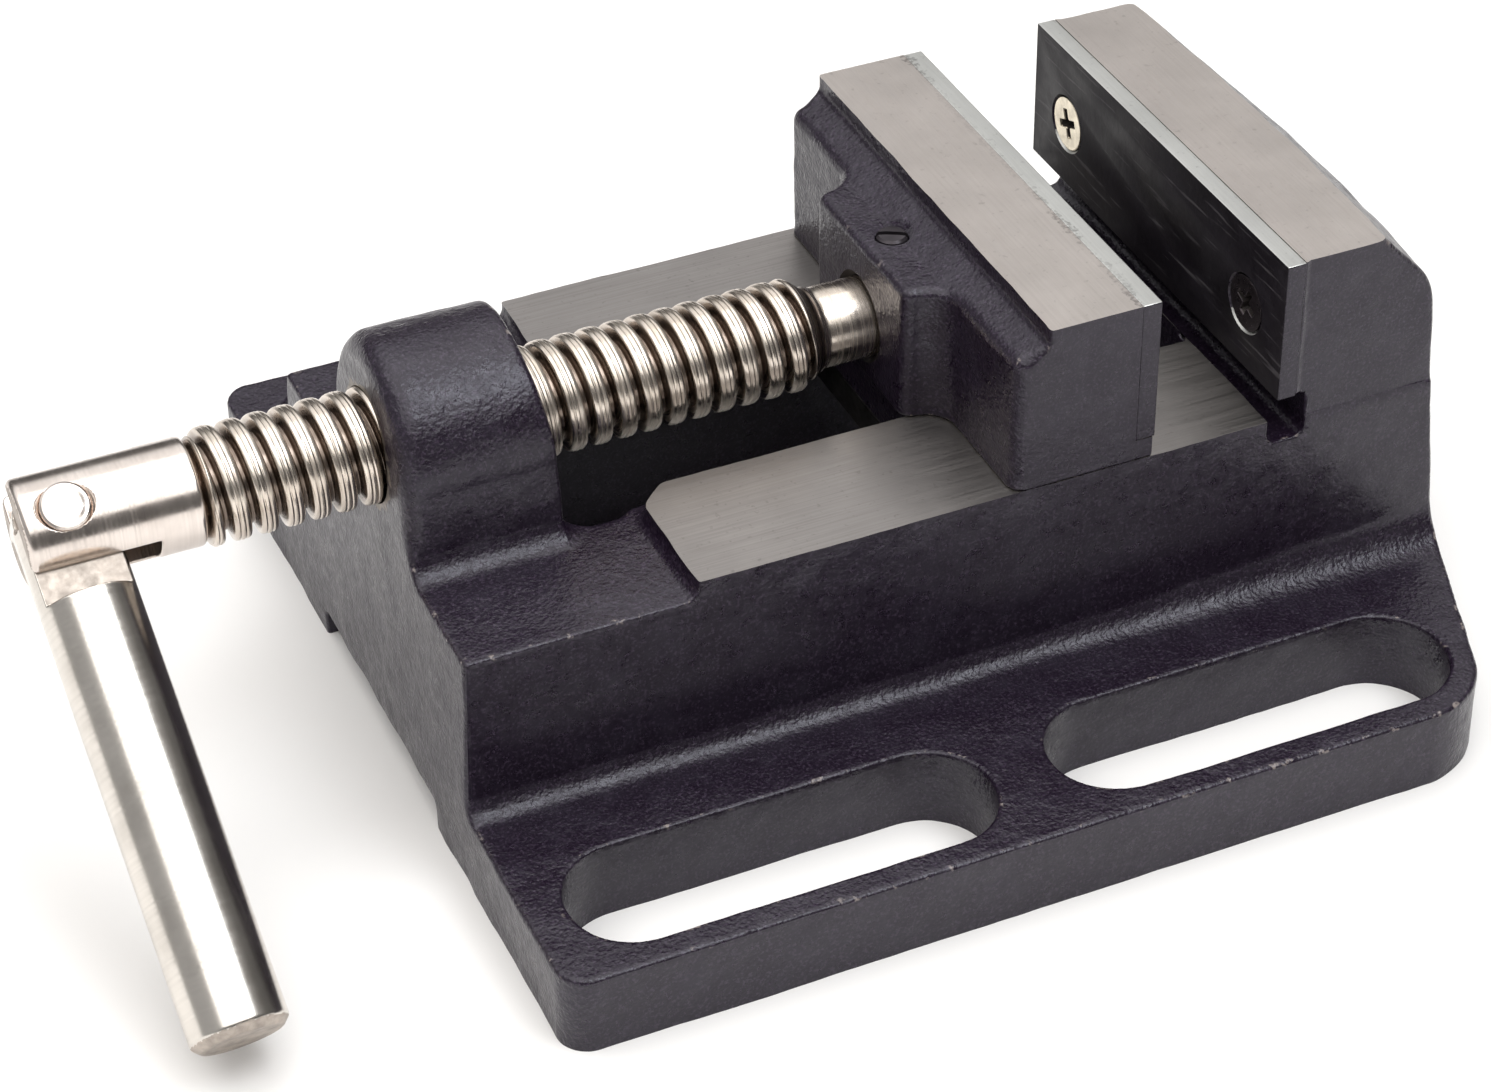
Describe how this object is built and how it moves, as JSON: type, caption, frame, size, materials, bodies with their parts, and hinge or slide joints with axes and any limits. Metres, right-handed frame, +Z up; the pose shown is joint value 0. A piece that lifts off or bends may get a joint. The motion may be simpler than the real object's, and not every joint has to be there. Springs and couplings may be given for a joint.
{
  "type": "machine vise",
  "caption": "Drill-press machine vise: slotted cast-iron base, fixed jaw, screw-driven sliding jaw with hardened plates, spindle with folding handle.",
  "frame": {"origin": "centre of the four fixing slots, on the bottom face of the base", "axes": "+X along the spindle from its head towards the fixed jaw, +Z up, +Y to the left when looking along +X"},
  "size_m": [0.2178, 0.158, 0.072],
  "materials": {
    "black_enamel": "semi-gloss black enamel over as-cast iron, ground faces bare",
    "hardened_plate": "ground",
    "nickel_screw": "nickel plated",
    "blackened_steel": "black oxide",
    "plain_steel": "bright rolled",
    "zinc_bolt": "zinc plated",
    "nickel_plate": "nickel plated, warm tint",
    "bright_steel": "satin turned"
  },
  "bodies": {
    "base": {"base_casting": "black_enamel", "fixed_jaw_plate": "hardened_plate", "fixed_plate_screw_near": "nickel_screw", "fixed_plate_screw_far": "nickel_screw"},
    "sliding_jaw": {"moving_jaw": "black_enamel", "moving_jaw_plate": "hardened_plate", "moving_plate_screw_near": "nickel_screw", "moving_plate_screw_far": "nickel_screw", "spindle_set_screw": "blackened_steel", "keeper_plate": "plain_steel", "keeper_bolt_near": "zinc_bolt", "keeper_bolt_far": "zinc_bolt", "spring_washer_near": "zinc_bolt", "spring_washer_far": "zinc_bolt"},
    "screw": {"spindle": "nickel_plate", "handle_pin": "bright_steel"},
    "handle": {"handle_bar": "bright_steel"}
  },
  "joints": [
    {"name": "jaw_slide", "type": "slide", "parent": "base", "child": "sliding_jaw", "axis": [1, 0, 0], "range_m": [-0.05, 0.0209]},
    {"name": "spindle_turn", "type": "hinge", "parent": "sliding_jaw", "child": "screw", "pos_m": [0, 0, 0.0534], "axis": [1, 0, 0], "range_deg": [-4510, 1890]},
    {"name": "handle_fold", "type": "hinge", "parent": "screw", "child": "handle", "pos_m": [-0.1221, 0, 0.0534], "axis": [0, 0.5878, -0.809], "range_deg": [0, 180]}
  ],
  "couplings": [
    {"joint": "spindle_turn", "follows": "jaw_slide", "rad_per_m": 1570.8}
  ]
}
